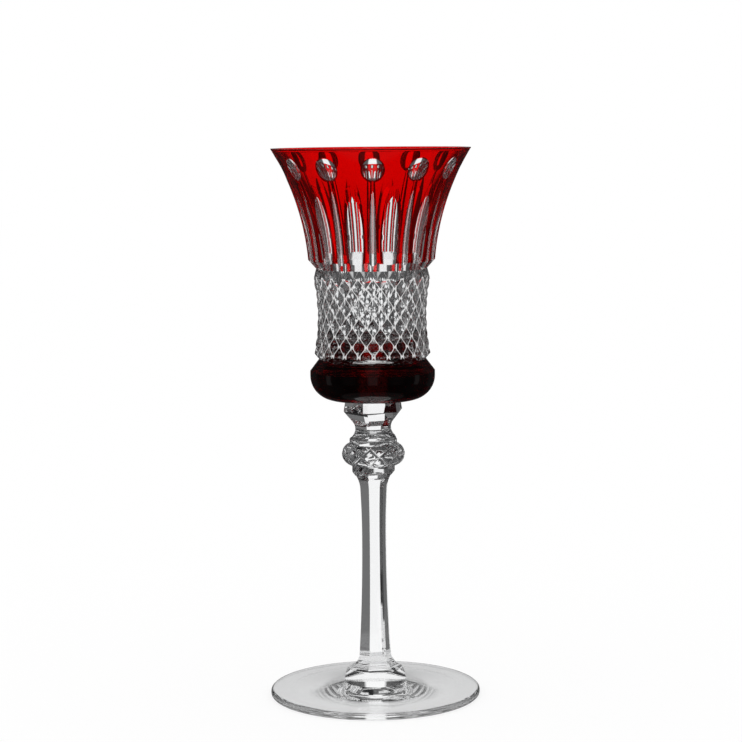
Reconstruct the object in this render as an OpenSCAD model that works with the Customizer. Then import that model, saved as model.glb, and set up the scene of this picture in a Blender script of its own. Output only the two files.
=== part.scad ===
// Cordial glass: a ruby-cased and cut crystal bowl on a faceted stem and a round foot.
// Millimetres, +Z up. The origin is the middle of the flat ring that the glass rests on.

/* [Foot] */
// Diameter of the foot
foot_d = 61.4; // [50:0.1:72]
// Thickness of the foot at its rim
foot_rim_h = 2; // [1.8:0.1:3]
// Rounding of the foot's rim
foot_rim_round = 0.8; // [0.3:0.1:0.9]
// Height of the foot where the button sits on it
foot_h = 3.9; // [3.2:0.1:5]
// How far the top of the foot dips between the button and the rim
foot_bow = 0.55; // [0.1:0.05:0.8]
// Width of the flat ring that the glass rests on
rest_w = 4; // [2:0.5:8]
// Height of the hollow under the foot
hollow_h = 0.8; // [0.3:0.1:1.4]

/* [Foot button] */
// Diameter of the button at the foot
button_d = 18.2; // [16:0.1:22]
// Diameter of the button at its shoulder
shoulder_d = 15.8; // [14:0.1:16]
// Height of the shoulder above the foot
shoulder_h = 4; // [3:0.1:4.6]
// Height of the button
button_h = 5.5; // [5:0.1:7]
// Swell of the button's side
button_bow = 0.25; // [0.1:0.05:0.5]
// Swell of the button's shoulder
shoulder_bow = 0.25; // [0.1:0.05:0.4]

/* [Stem] */
// Number of flat sides on the stem and on the capital
side_n = 6; // [5:1:10]
// Turn of the stem's sides about the upright axis
stem_turn = 43; // [0:1:60]
// Height of the stem
stem_h = 55.2; // [45:0.1:70]
// Width across the flats where the stem meets the button
stem_base_w = 10.3; // [9:0.1:11]
// Height of the flare at the stem's foot
low_flare_h = 2.9; // [2:0.1:4]
// Width across the flats above that flare
stem_low_w = 8.1; // [7:0.1:8.8]
// Height of the waist above the foot of the stem
waist_up = 37.6; // [30:0.1:40]
// Width across the flats at the waist
stem_waist_w = 6.24; // [5:0.02:6.8]
// Width across the flats under the upper flare
stem_top_w = 6.9; // [6.2:0.1:7.8]
// Height of the flare at the stem's top
top_flare_h = 4; // [2:0.1:5]
// Width across the flats where the stem meets its collar
stem_head_w = 8.6; // [8:0.1:9.4]

/* [Stem collar] */
// Diameter of the collar under the knop
collar_d = 12.4; // [11.6:0.1:13]
// Height of the collar
collar_h = 3.6; // [3:0.1:5]
// Height of the bevel under the collar
collar_bevel_h = 1.5; // [0.8:0.1:2]
// Height that the stem's flat sides run up into the collar
collar_cut_h = 2.2; // [1:0.1:2.8]

/* [Knop] */
// Diameter of the knop
knop_d = 18.3; // [17:0.1:21]
// Height of the knop
knop_h = 6.2; // [5.6:0.1:6.4]
// Height of the knop's widest level above its foot
knop_mid_up = 3.2; // [3:0.05:3.3]
// Radius of the knop's rounded side
knop_round = 3.35; // [3.35:0.05:3.8]
// Number of crossed cuts round the knop
knop_cut_n = 10; // [7:1:14]
// Depth of the crossed cuts on the knop
knop_cut_deep = 0.6; // [0.2:0.05:0.9]
// Turn of the knop's cuts about the upright axis
knop_turn = -6.6; // [-18:0.1:18]

/* [Knop ring] */
// Diameter of the ring on the knop
ring_d = 13.8; // [13:0.1:14.4]
// Height of the ring
ring_h = 1.5; // [1:0.1:2]
// Bevel on the ring's edges
ring_bevel = 0.25; // [0.1:0.05:0.4]

/* [Capital] */
// Height of the capital under the bowl
capital_h = 11.5; // [10.5:0.1:14]
// Turn of the capital's sides about the upright axis
capital_turn = 49.5; // [0:0.5:60]
// Diameter of the capital's round foot
capital_foot_d = 13.3; // [12.4:0.1:13.6]
// Height of the waist above the capital's foot
capital_waist_up = 3.1; // [2.6:0.1:3.6]
// Width across the flats at the waist
capital_waist_w = 9.54; // [8:0.02:10.2]
// Height above the capital's foot where its hollow ends
capital_rise_up = 5; // [4.4:0.1:5.6]
// Width across the flats there
capital_rise_w = 10.8; // [10.4:0.1:12]
// Height of the capital's ridge above its foot
ridge_up = 8.25; // [7.5:0.05:9]
// Width across the flats at the ridge
ridge_w = 15.6; // [14:0.1:17]
// Width across the flats where the capital meets the bowl
neck_w = 14.7; // [13:0.1:15.4]

/* [Cup base] */
// Diameter of the bowl's round base
cup_d = 36.2; // [35:0.1:40]
// Height of the base up to its bevel
cup_h = 8.4; // [8:0.1:12]
// Radius of the base's rounded corner
cup_round = 7; // [5:0.1:7.6]
// Thickness of the ruby casing
casing_t = 0.3; // [0.2:0.05:0.4]

/* [Diamond band] */
// Height of the bevel from the base up to the groove under the band
low_bevel_h = 3.5; // [3:0.1:5]
// Depth of that groove, from the band's edge
low_groove_deep = 1.4; // [0.9:0.05:1.8]
// Height of the lip from that groove up to the band
low_lip_h = 1.7; // [1.2:0.1:2.5]
// Diameter of the band at its two edges
band_d = 33.7; // [33.2:0.1:35]
// Height of the band
band_h = 21.3; // [16:0.1:26]
// How far the band is drawn in at its middle
band_bow = 1.07; // [0.7:0.01:1.3]
// Height of the lip from the band up to the groove over it
top_lip_h = 3.2; // [2.6:0.1:4]
// Depth of the groove over the band, from the band's edge
top_groove_deep = 0.8; // [0.5:0.05:1.2]
// Height of the bevel from that groove up to the flare
top_bevel_h = 2.6; // [2:0.1:4]
// Number of diamonds round the band
diamond_n = 24; // [18:1:30]
// Height of one diamond
diamond_h = 5.52; // [4.6:0.02:6.4]
// Depth of the grooves between the diamonds
groove_deep = 0.5; // [0.3:0.05:0.7]
// How far a groove's side reaches, as a share of the way to the next groove
groove_side_share = 0.42; // [0.3:0.01:0.46]

/* [Flare] */
// Diameter of the bowl where its flare starts
flare_d = 36.66; // [35.6:0.02:39]
// Diameter of the rim
rim_d = 57.7; // [52:0.1:62]
// Height of the flare
flare_h = 31.9; // [28:0.1:36]
// How far the flare is drawn in between its ends
flare_bow = 1.96; // [1.4:0.02:2.6]
// Number of repeats of the cuts round the flare
cut_n = 12; // [8:1:14]
// Turn of all the cuts on the bowl about the upright axis
cut_turn = 1.1; // [-15:0.1:15]
// Distance of the thumbprints below the rim
thumb_down = 5.8; // [5:0.1:8]
// Width of a thumbprint
thumb_w = 7.4; // [6:0.1:8]
// Depth of a thumbprint
thumb_deep = 1.2; // [0.8:0.05:1.3]
// Distance below the rim at which the narrow flutes run out
flute_end_down = 4.25; // [3.5:0.05:7]
// Radius of the rounded edge of the wheel that cuts them
flute_edge_r = 1.25; // [0.9:0.05:1.8]
// Greatest depth of a flute
flute_deep = 0.78; // [0.6:0.02:1]
// Distance of a flute's deepest place below the flare
flute_down = 4.1; // [2:0.1:5]
// Distance below the rim at which the lancets run out
lancet_end_down = 9.9; // [8:0.1:13]
// Radius of the rounded edge of the wheel that cuts them
lancet_edge_r = 9; // [6:0.1:10]
// Greatest depth of a lancet
lancet_deep = 0.75; // [0.6:0.01:0.85]
// Height of a lancet's deepest place above the foot of the flare
lancet_up = 6.9; // [4:0.1:9]

/* [Inside of the bowl] */
// Thickness of the bowl's floor, casing included
floor_t = 13; // [10:0.1:15]
// Radius of the corner round the floor
bore_round = 8.3; // [5:0.1:8.8]
// Thickness of the wall inside the groove under the band
bore_wall_t = 2.05; // [1.6:0.05:3]
// Height above the floor where the inside starts to widen
throat_up = 10; // [9:0.5:14]
// How much narrower the foot of the flare is inside than the groove over the band, on each side
throat_wall_t = 1.15; // [0.9:0.05:2]
// How far the inside is drawn in below the flare
throat_bow = 0.2; // [0.1:0.05:0.4]
// Thickness of the wall at the rim
rim_t = 1.4; // [1.2:0.1:2]
// How far the inside of the flare is drawn in
inner_bow = 2; // [1.6:0.1:2.4]

/* [Hidden] */

// Steps of a full turn, of a large arc and of a short arc in an outline
$fn = 120;
arc_fn = 256;
edge_fn = 48;
arc_steps = 12;
// How far a cutter runs past the surface that it opens
past = 2;
// Glass left on a blank for the last cut to take away
skin = 0.15;
// Part of its turn that a cutting wheel sweeps
wheel_sweep = 84;
// How far below the band the crossed cuts start, as a share of half a diamond
row_start_share = 0.93;
// Half diamonds that the knop's cuts are high, over half a turn of its side
knop_rows = 4;

foot_r = foot_d / 2;
button_r = button_d / 2;
shoulder_r = shoulder_d / 2;
collar_r = collar_d / 2;
knop_r = knop_d / 2;
ring_r = ring_d / 2;
capital_foot_r = capital_foot_d / 2;
cup_r = cup_d / 2;
band_r = band_d / 2;
low_groove_r = band_r - low_groove_deep;
top_groove_r = band_r - top_groove_deep;
flare_r = flare_d / 2;
rim_r = rim_d / 2;
bore_r = low_groove_r - bore_wall_t;
throat_r = top_groove_r - throat_wall_t;

// Levels of the joints and edges, from the foot up
button_z = foot_h;
stem_z = button_z + button_h;
collar_z = stem_z + stem_h;
knop_z = collar_z + collar_h;
knop_mid_z = knop_z + knop_mid_up;
ring_z = knop_z + knop_h;
capital_z = ring_z + ring_h;
cup_z = capital_z + capital_h;
cup_top_z = cup_z + cup_h;
low_groove_z = cup_top_z + low_bevel_h;
band_z = low_groove_z + low_lip_h;
band_top_z = band_z + band_h;
top_groove_z = band_top_z + top_lip_h;
flare_z = top_groove_z + top_bevel_h;
rim_z = flare_z + flare_h;
floor_z = cup_z + floor_t;
throat_z = floor_z + throat_up;

// Radius of the corners between flat sides of half width w
function corner_r(w) = w / cos(180 / side_n);

// An arc from a to b that stands off its chord by bow, to the right of the way: its radius and middle
function arc_r(a, b, bow) = (pow(norm(b - a) / 2, 2) + bow * bow) / (2 * bow);
function left_of(a, b) = [a[1] - b[1], b[0] - a[0]] / norm(b - a);
function arc_mid(a, b, bow) = (a + b) / 2 + left_of(a, b) * (arc_r(a, b, bow) - bow);

// The bow of an arc between a and b that stands upright at b
function upright_bow(a, b) =
    let (r = pow(norm(b - a), 2) / (2 * abs(b[0] - a[0])))
    r - sqrt(r * r - pow(norm(b - a) / 2, 2));

// Points along an arc from a up to, but without, b
function swell(a, b, bow) =
    let (r = arc_r(a, b, bow), m = arc_mid(a, b, bow))
    let (start = atan2(a[1] - m[1], a[0] - m[0]))
    let (step = 2 * asin(norm(b - a) / (2 * r)) / arc_steps)
    [for (i = [0:arc_steps - 1]) m + r * [cos(start + i * step), sin(start + i * step)]];

// The same with the bow to the left of the way
function hollow(a, b, bow) =
    let (back = swell(b, a, bow))
    concat([a], [for (i = [arc_steps - 1:-1:1]) back[i]]);

// Points from a up to, but without, b, upright at the waist, which is one of the two
function taper(a, b, waist) =
    let (end = waist == a ? b : a)
    [for (i = [0:arc_steps - 1])
        let (z = a[1] + (b[1] - a[1]) * i / arc_steps)
        [waist[0] + (end[0] - waist[0]) * pow((z - waist[1]) / (end[1] - waist[1]), 2), z]];

// A disc whose edge runs through a and b and stands off their chord by bow
module arc_disc(a, b, bow, grow = 0) {
    translate(arc_mid(a, b, bow))
        circle(r = arc_r(a, b, bow) + grow, $fn = arc_fn);
}

// What lies behind the same outline on every side. The outline runs up, as half widths and levels.
module sided(outline, turn) {
    far = outline[0][0] + cup_d;
    low = outline[0][1];
    high = outline[len(outline) - 1][1];
    intersection_for (i = [0:side_n - 1])
        rotate([0, 0, turn + i * 360 / side_n])
            rotate([90, 0, 0])
                linear_extrude(height = 2 * far, center = true)
                    polygon(concat([[-far, low]], outline, [[-far, high]]));
}

// Lines of the crossed cuts, as shares of one diamond: a groove, its edge, and so on to its other edge
band_shares = [0, groove_side_share, 1 - groove_side_share];
knop_shares = [0, 0.17, 0.4, 0.6, 0.83];

function line_at(shares, i) =
    let (turns = floor(i / len(shares)))
    turns + shares[i - turns * len(shares)];
function groove_at(shares, u) = max(0, 1 - abs(u - round(u)) / shares[1]);

// A ring with crossed grooves on its inside, n diamonds round and rows half diamonds high.
// The function at(w) gives the radius, the level and the groove's depth at w half diamonds up.
module crossed_cuts(n, rows, shares, outer_r, at) {
    m = len(shares);
    k_n = n * m;
    top = rows * m;
    function corner(s, k) =
        let (t = 2 * k + s % 2)
        let (u = line_at(shares, (t + s) / 2), v = line_at(shares, (t - s) / 2))
        let (p = at(u - v), a = (u + v) * 180 / n)
        let (r = p[0] - p[2] * max(groove_at(shares, u), groove_at(shares, v)))
        [r * cos(a), r * sin(a), p[1]];
    function outside(s, k) =
        let (p = corner(s, k), a = atan2(p[1], p[0]))
        [outer_r * cos(a), outer_r * sin(a), p[2]];
    function id(s, k) = s * k_n + (k + k_n) % k_n;
    function cell(s, k) =
        let (t = 2 * k + s % 2, i = (t + s) / 2, j = (t - s) / 2)
        let (a = i - m * floor(i / m), b = j - m * floor(j / m))
        let (left = id(s, k), right = id(s, k + 1))
        let (up = id(s + 1, k + s % 2), down = id(s - 1, k + s % 2))
        a == b && (a == 0 || a == m - 1)
            ? [[up, left, right], [left, down, right]]
            : [[up, left, down], [up, down, right]];
    low = top + 1;
    high = top + 2;
    points = concat(
        [for (s = [0:top], k = [0:k_n - 1]) corner(s, k)],
        [for (k = [0:k_n - 1]) outside(0, k)],
        [for (k = [0:k_n - 1]) outside(top, k)]
    );
    inside = [for (s = [1:top - 1], k = [0:k_n - 1]) each cell(s, k)];
    ends = [for (k = [0:k_n - 1]) each [
        [id(1, k), id(0, k), id(0, k + 1)],
        [id(top, k), id(top - 1, k + top % 2), id(top, k + 1)],
        [id(0, k), id(low, k), id(low, k + 1)],
        [id(0, k), id(low, k + 1), id(0, k + 1)],
        [id(top, k + 1), id(high, k + 1), id(high, k)],
        [id(top, k + 1), id(high, k), id(top, k)],
        [id(low, k), id(high, k), id(high, k + 1)],
        [id(low, k), id(high, k + 1), id(low, k + 1)],
    ]];
    polyhedron(points = points, faces = concat(inside, ends));
}

// Foot: a thin disc that thickens to the middle, on a flat ring round a shallow hollow
module foot() {
    edge = foot_r - foot_rim_round;
    rest_r = edge - rest_w;
    color([0.86, 0.9, 0.93])
        rotate_extrude()
            difference() {
                union() {
                    difference() {
                        square([edge, foot_h]);
                        arc_disc([button_r, foot_h], [edge, foot_rim_h], foot_bow);
                    }
                    translate([edge, foot_rim_round])
                        circle(r = foot_rim_round);
                    translate([edge, foot_rim_h - foot_rim_round])
                        circle(r = foot_rim_round);
                    translate([edge - foot_rim_round, foot_rim_round])
                        square([2 * foot_rim_round, foot_rim_h - 2 * foot_rim_round]);
                }
                arc_disc([rest_r, 0], [-rest_r, 0], hollow_h);
            }
}

// Hollow flats at the foot of the stem, from the button's shoulder up to the stem
base_corner = [stem_base_w / 2, stem_z];
shoulder_cut = [shoulder_r + skin * past, button_z + shoulder_h];

// Foot button: a squat round block whose shoulder is scalloped by the stem's flats
module foot_button() {
    shoulder = [shoulder_r, button_z + shoulder_h];
    crown = [corner_r(stem_base_w / 2) + skin, stem_z];
    swept = hollow(shoulder_cut, base_corner, upright_bow(shoulder_cut, base_corner) / past);
    color([0.8, 0.86, 0.9])
        intersection() {
            rotate_extrude()
                polygon(concat(
                    [[0, button_z]],
                    swell([button_r, button_z], shoulder, button_bow),
                    swell(shoulder, crown, shoulder_bow),
                    [crown, [0, stem_z]]
                ));
            sided(concat([[button_r + past, button_z], [button_r + past, shoulder_cut[1]]], swept, [base_corner]),
                stem_turn);
        }
}

// Stem: flat-sided, drawn in to a waist, flared at both ends
module stem() {
    low = [stem_low_w / 2, stem_z + low_flare_h];
    waist = [stem_waist_w / 2, stem_z + waist_up];
    high = [stem_top_w / 2, collar_z - top_flare_h];
    head = [stem_head_w / 2, collar_z];
    color([0.74, 0.8, 0.85])
        sided(concat(
            hollow(base_corner, low, upright_bow(base_corner, low)),
            taper(low, waist, waist),
            taper(waist, high, waist),
            hollow(high, head, upright_bow(head, high)),
            [head]
        ), stem_turn);
}

// Stem collar: a round ring with a bevel that the stem's flats run up into
module stem_collar() {
    head = stem_head_w / 2;
    color([0.83, 0.88, 0.92])
        intersection() {
            rotate_extrude()
                polygon([
                    [0, collar_z],
                    [corner_r(head) + skin, collar_z],
                    [collar_r, collar_z + collar_bevel_h],
                    [collar_r, knop_z],
                    [0, knop_z],
                ]);
            sided([
                [head, collar_z],
                [collar_r, collar_z + collar_cut_h],
                [collar_r + past, collar_z + collar_cut_h],
                [collar_r + past, knop_z],
            ], stem_turn);
        }
}

// Knop: a squat ball with crossed cuts round its middle, which run out above and below
module knop() {
    belly_r = knop_r - knop_round;
    function at(w) =
        let (a = (w / knop_rows - 1 / 2) * 180)
        [belly_r + knop_round * cos(a), knop_mid_z + knop_round * sin(a), knop_cut_deep * pow(cos(a), 2)];
    color([0.7, 0.78, 0.84])
        difference() {
            rotate_extrude()
                intersection() {
                    union() {
                        translate([belly_r, knop_mid_z])
                            circle(r = knop_round + skin);
                        translate([0, knop_z])
                            square([belly_r, knop_h]);
                    }
                    translate([0, knop_z])
                        square([knop_d, knop_h]);
                }
            rotate([0, 0, knop_turn])
                crossed_cuts(knop_cut_n, knop_rows, knop_shares, knop_d, function(w) at(w));
        }
}

// Knop ring: a narrow round ring between the knop and the capital
module knop_ring() {
    color([0.88, 0.91, 0.94])
        rotate_extrude()
            polygon([
                [0, ring_z],
                [ring_r, ring_z],
                [ring_r, capital_z - ring_bevel],
                [ring_r - ring_bevel, capital_z],
                [0, capital_z],
            ]);
}

// Capital: flat-sided, hollowed to a waist over a round foot, with a ridge under its neck
module capital() {
    foot_cut = [capital_foot_r + skin * past, capital_z];
    waist = [capital_waist_w / 2, capital_z + capital_waist_up];
    rise = [capital_rise_w / 2, capital_z + capital_rise_up];
    color([0.78, 0.84, 0.89])
        intersection() {
            sided(concat(
                hollow(foot_cut, waist, upright_bow(foot_cut, waist)),
                hollow(waist, rise, upright_bow(rise, waist)),
                [rise, [ridge_w / 2, capital_z + ridge_up], [neck_w / 2, cup_z]]
            ), capital_turn);
            rotate_extrude()
                polygon([
                    [0, capital_z],
                    [capital_foot_r, capital_z],
                    [capital_foot_r, capital_z + capital_waist_up],
                    [ridge_w, capital_z + ridge_up],
                    [ridge_w, cup_z],
                    [0, cup_z],
                ]);
        }
}

// The round base of the bowl, drawn in by inset all round
module cup_outline(inset) {
    r = cup_round - inset;
    translate([0, cup_z + inset])
        square([cup_r - cup_round, r]);
    translate([cup_r - cup_round, cup_z + cup_round])
        circle(r = r);
    translate([0, cup_z + cup_round])
        square([cup_r - inset, cup_h + low_bevel_h]);
}

// What lies under the bevel of the base, drawn in by inset from the bevel
module under_low_bevel(inset) {
    run = cup_r - low_groove_r;
    slant = norm([run, low_bevel_h]);
    polygon([
        [0, cup_z],
        [cup_r, cup_z],
        [cup_r, cup_top_z - inset * slant / run],
        [low_groove_r - inset * slant / low_bevel_h, low_groove_z],
        [0, low_groove_z],
    ]);
}

// The bowl's base and its bevel, drawn in by inset all round
module base_outline(inset) {
    intersection() {
        cup_outline(inset);
        under_low_bevel(inset);
    }
}

// Cup casing: the ruby skin of the bowl's round base and of the bevel over it
module cup_casing() {
    color([0.35, 0, 0.03])
        rotate_extrude()
            difference() {
                base_outline(0);
                base_outline(casing_t);
            }
}

flare_foot = [flare_r, flare_z];
flare_rim = [rim_r, rim_z];
flare_arc_r = arc_r(flare_rim, flare_foot, flare_bow);
flare_mid = arc_mid(flare_rim, flare_foot, flare_bow);

// What lies above the bevel under the flare, out past the flare
module over_top_bevel(floor_r) {
    slope = (flare_r - top_groove_r) / top_bevel_h;
    polygon([
        [floor_r, top_groove_z],
        [top_groove_r, top_groove_z],
        [rim_r, top_groove_z + (rim_r - top_groove_r) / slope],
        [rim_r + past, rim_z],
        [floor_r, rim_z],
    ]);
}

// A cutting wheel that has sunk deep into the flare at a level. It runs out at end_down below the
// rim, and edge_r is the radius of its rounded edge.
module wheel(level, end_down, edge_r, deep) {
    reach = (rim_z - end_down - level) * norm(flare_rim - flare_foot) / flare_h;
    wheel_r = 1 / (1 / flare_arc_r + 2 * deep / pow(reach, 2));
    spot = flare_mid - [sqrt(pow(flare_arc_r, 2) - pow(level - flare_mid[1], 2)), flare_mid[1] - level];
    out = (flare_mid - spot) / flare_arc_r;
    hub = spot + out * (wheel_r - deep);
    start = atan2(-out[1], -out[0]) - wheel_sweep / 2;
    translate([hub[0], 0, hub[1]])
        rotate([90, 0, 0])
            rotate_extrude(angle = wheel_sweep, start = start, $fn = arc_fn)
                translate([wheel_r - edge_r, 0])
                    circle(r = edge_r, $fn = edge_fn);
}

// A round thumbprint below the rim
module thumbprint() {
    level = rim_z - thumb_down;
    r = (pow(thumb_w / 2, 2) + pow(thumb_deep, 2)) / (2 * thumb_deep);
    spot = flare_mid - [sqrt(pow(flare_arc_r, 2) - pow(level - flare_mid[1], 2)), flare_mid[1] - level];
    hub = spot + (flare_mid - spot) / flare_arc_r * (r - thumb_deep);
    translate([hub[0], 0, hub[1]])
        sphere(r = r);
}

// Cuts through the ruby of the flare: thumbprints over flutes, with lancets between them
module flare_cuts() {
    for (i = [0:cut_n - 1])
        rotate([0, 0, cut_turn + i * 360 / cut_n]) {
            thumbprint();
            wheel(flare_z - flute_down, flute_end_down, flute_edge_r, flute_deep);
            rotate([0, 0, 180 / cut_n])
                wheel(flare_z + lancet_up, lancet_end_down, lancet_edge_r, lancet_deep);
        }
}

// Flare casing: the ruby skin of the flare, cut through in windows
module flare_casing() {
    color([0.8, 0, 0.02])
        difference() {
            rotate_extrude()
                difference() {
                    intersection() {
                        over_top_bevel(flare_r - past);
                        arc_disc(flare_rim, flare_foot, flare_bow, casing_t);
                    }
                    arc_disc(flare_rim, flare_foot, flare_bow);
                }
            flare_cuts();
        }
}

// The space inside the bowl
module inside_outline() {
    corner = bore_r - bore_round;
    throat = [throat_r, flare_z];
    lip = [rim_r - rim_t, rim_z];
    translate([0, floor_z])
        square([corner, bore_round]);
    intersection() {
        translate([corner, floor_z + bore_round])
            circle(r = bore_round);
        translate([0, floor_z])
            square([bore_r, bore_round]);
    }
    polygon(concat(
        [[0, floor_z + bore_round], [bore_r, floor_z + bore_round]],
        hollow([bore_r, throat_z], throat, throat_bow),
        hollow(throat, lip, inner_bow),
        [lip, [rim_r - rim_t, rim_z + past], [0, rim_z + past]]
    ));
}

// Bowl: clear crystal under the two casings, cut into diamonds between them
module bowl() {
    half_h = diamond_h / 2;
    rows = ceil(band_h / half_h) + 2;
    low_row_z = band_z - half_h * row_start_share;
    low_edge = [band_r, band_z];
    high_edge = [band_r, band_top_z];
    waist_r = arc_r(high_edge, low_edge, band_bow);
    waist_mid = arc_mid(high_edge, low_edge, band_bow);
    function at(w) =
        let (z = low_row_z + w * half_h)
        [waist_mid[0] - sqrt(pow(waist_r, 2) - pow(z - waist_mid[1], 2)), z, groove_deep];
    lip_r = band_r + past;
    color([0.9, 0.93, 0.96]) {
        difference() {
            rotate_extrude()
                difference() {
                    union() {
                        base_outline(casing_t);
                        difference() {
                            polygon([
                                [0, low_groove_z],
                                [low_groove_r, low_groove_z],
                                [lip_r, low_groove_z + low_lip_h * (lip_r - low_groove_r) / (band_r - low_groove_r)],
                                [lip_r, top_groove_z - top_lip_h * (lip_r - top_groove_r) / (band_r - top_groove_r)],
                                [top_groove_r, top_groove_z],
                                [0, top_groove_z],
                            ]);
                            arc_disc(high_edge, low_edge, band_bow, -skin);
                        }
                    }
                    inside_outline();
                }
            rotate([0, 0, cut_turn + 180 / diamond_n])
                crossed_cuts(diamond_n, rows, band_shares, cup_r, function(w) at(w));
        }
        difference() {
            rotate_extrude()
                difference() {
                    over_top_bevel(0);
                    arc_disc(flare_rim, flare_foot, flare_bow, casing_t);
                    inside_outline();
                }
            flare_cuts();
        }
    }
}

foot();
foot_button();
stem();
stem_collar();
knop();
knop_ring();
capital();
cup_casing();
bowl();
flare_casing();
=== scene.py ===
"""A cordial glass: a ruby-cased and cut crystal bowl on a faceted stem and a round foot."""

import math

import bpy
from mathutils import Matrix, Vector


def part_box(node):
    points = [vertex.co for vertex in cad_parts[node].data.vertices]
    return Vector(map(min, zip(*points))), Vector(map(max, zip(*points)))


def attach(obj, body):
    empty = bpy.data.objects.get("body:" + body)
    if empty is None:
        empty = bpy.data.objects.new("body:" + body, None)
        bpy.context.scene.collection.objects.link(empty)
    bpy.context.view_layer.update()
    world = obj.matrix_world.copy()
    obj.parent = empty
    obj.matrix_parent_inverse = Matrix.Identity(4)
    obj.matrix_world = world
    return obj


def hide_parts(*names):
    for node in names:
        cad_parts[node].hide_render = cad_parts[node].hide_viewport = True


bl_info = {
    "name": "Cordial Glass",
    "version": (1, 0, 0),
    "blender": (4, 5, 0),
    "location": "View3D > Sidebar > Cordial Glass",
    "description": "Cuts a cordial glass in clear and ruby crystal around its packed frame",
    "category": "Object",
}

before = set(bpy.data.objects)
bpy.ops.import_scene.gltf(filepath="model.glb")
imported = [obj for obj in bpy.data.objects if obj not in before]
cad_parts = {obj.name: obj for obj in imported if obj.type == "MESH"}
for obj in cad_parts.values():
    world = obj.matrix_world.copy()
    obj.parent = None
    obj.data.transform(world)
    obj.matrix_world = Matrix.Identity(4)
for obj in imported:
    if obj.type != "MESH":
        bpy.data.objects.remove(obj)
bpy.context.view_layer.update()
BOXES = {node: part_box(node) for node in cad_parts}


def foot_of(node):
    return BOXES[node][0].z


def head_of(node):
    return BOXES[node][1].z


def ends(node):
    return foot_of(node), head_of(node)


def across(node):
    return BOXES[node][1].x - BOXES[node][0].x


# Properties


def length(name, millimetres, description):
    return bpy.props.FloatProperty(
        name=name, description=description, default=millimetres / 1000, min=0, precision=5, unit="LENGTH"
    )


def turn(name, degrees, description):
    return bpy.props.FloatProperty(
        name=name, description=description, default=math.radians(degrees), subtype="ANGLE"
    )


def count(name, number, description):
    return bpy.props.IntProperty(name=name, description=description, default=number, min=3)


def share(name, value, description):
    return bpy.props.FloatProperty(
        name=name, description=description, default=value, min=0, max=1, subtype="FACTOR"
    )


def colour(name, value, description):
    return bpy.props.FloatVectorProperty(
        name=name, description=description, default=value, size=3, min=0, max=1, subtype="COLOR"
    )


class FootSizes(bpy.types.PropertyGroup):
    """Sizes of the foot and its button."""

    rim_height: length("Rim height", 2, "Thickness of the foot at its rim")
    rim_round: length("Rim rounding", 0.8, "Rounding of the foot's rim")
    dip: length("Dip", 0.55, "How far the top of the foot dips between the button and the rim")
    rest_width: length("Resting ring", 4, "Width of the flat ring that the glass rests on")
    hollow: length("Hollow", 0.8, "Height of the hollow under the foot")
    button_width: length("Button", 18.2, "Diameter of the button at the foot")
    shoulder_width: length("Shoulder", 15.8, "Diameter of the button at its shoulder")
    shoulder_height: length("Shoulder height", 4, "Height of the shoulder above the foot")
    swell: length("Swell", 0.25, "Swell of the button's side and shoulder")


class StemSizes(bpy.types.PropertyGroup):
    """Sizes of the stem and its collar. Widths are across the flats."""

    sides: count("Sides", 6, "Number of flat sides on the stem and on the capital")
    turn: turn("Turn", 43, "Turn of the stem's sides about the upright axis")
    base_width: length("Base", 10.3, "Width where the stem meets the button")
    low_flare: length("Lower flare", 2.9, "Height of the flare at the stem's foot")
    low_width: length("Low width", 8.1, "Width above that flare")
    waist_up: length("Waist height", 37.6, "Height of the waist above the foot of the stem")
    waist_width: length("Waist", 6.24, "Width at the waist")
    top_width: length("Top width", 6.9, "Width under the upper flare")
    top_flare: length("Upper flare", 4, "Height of the flare at the stem's top")
    head_width: length("Head", 8.6, "Width where the stem meets its collar")
    collar_bevel: length("Collar bevel", 1.5, "Height of the bevel under the collar")
    collar_cut: length("Collar cut", 2.2, "Height that the stem's sides run up into the collar")


class KnopSizes(bpy.types.PropertyGroup):
    """Sizes of the knop and of the ring on it."""

    middle_up: length("Middle", 3.2, "Height of the widest level above the knop's foot")
    rounding: length("Rounding", 3.35, "Radius of the rounded side")
    cuts: count("Cuts", 10, "Number of crossed cuts round the knop")
    cut_depth: length("Cut depth", 0.6, "Depth of the crossed cuts")
    cut_share: share("Cut width", 0.17, "Half width of a cut, as a share of one diamond")
    bottom_share: share("Cut bottom", 0.35, "Rounded part of that half width")
    turn: turn("Turn", -6.6, "Turn of the cuts about the upright axis")
    width: length("Knop", 18.3, "Diameter of the knop")
    ring_bevel: length("Ring bevel", 0.25, "Bevel on the ring's edges")


class CapitalSizes(bpy.types.PropertyGroup):
    """Sizes of the capital. Widths are across the flats."""

    turn: turn("Turn", 49.5, "Turn of the capital's sides about the upright axis")
    waist_up: length("Waist height", 3.1, "Height of the waist above the capital's foot")
    waist_width: length("Waist", 9.54, "Width at the waist")
    rise_up: length("Rise height", 5, "Height above the capital's foot where its hollow ends")
    rise_width: length("Rise", 10.8, "Width where the hollow ends")
    ridge_up: length("Ridge height", 8.25, "Height of the ridge above the capital's foot")
    ridge_width: length("Ridge", 15.6, "Width at the ridge")
    neck_width: length("Neck", 14.7, "Width where the capital meets the bowl")


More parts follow.
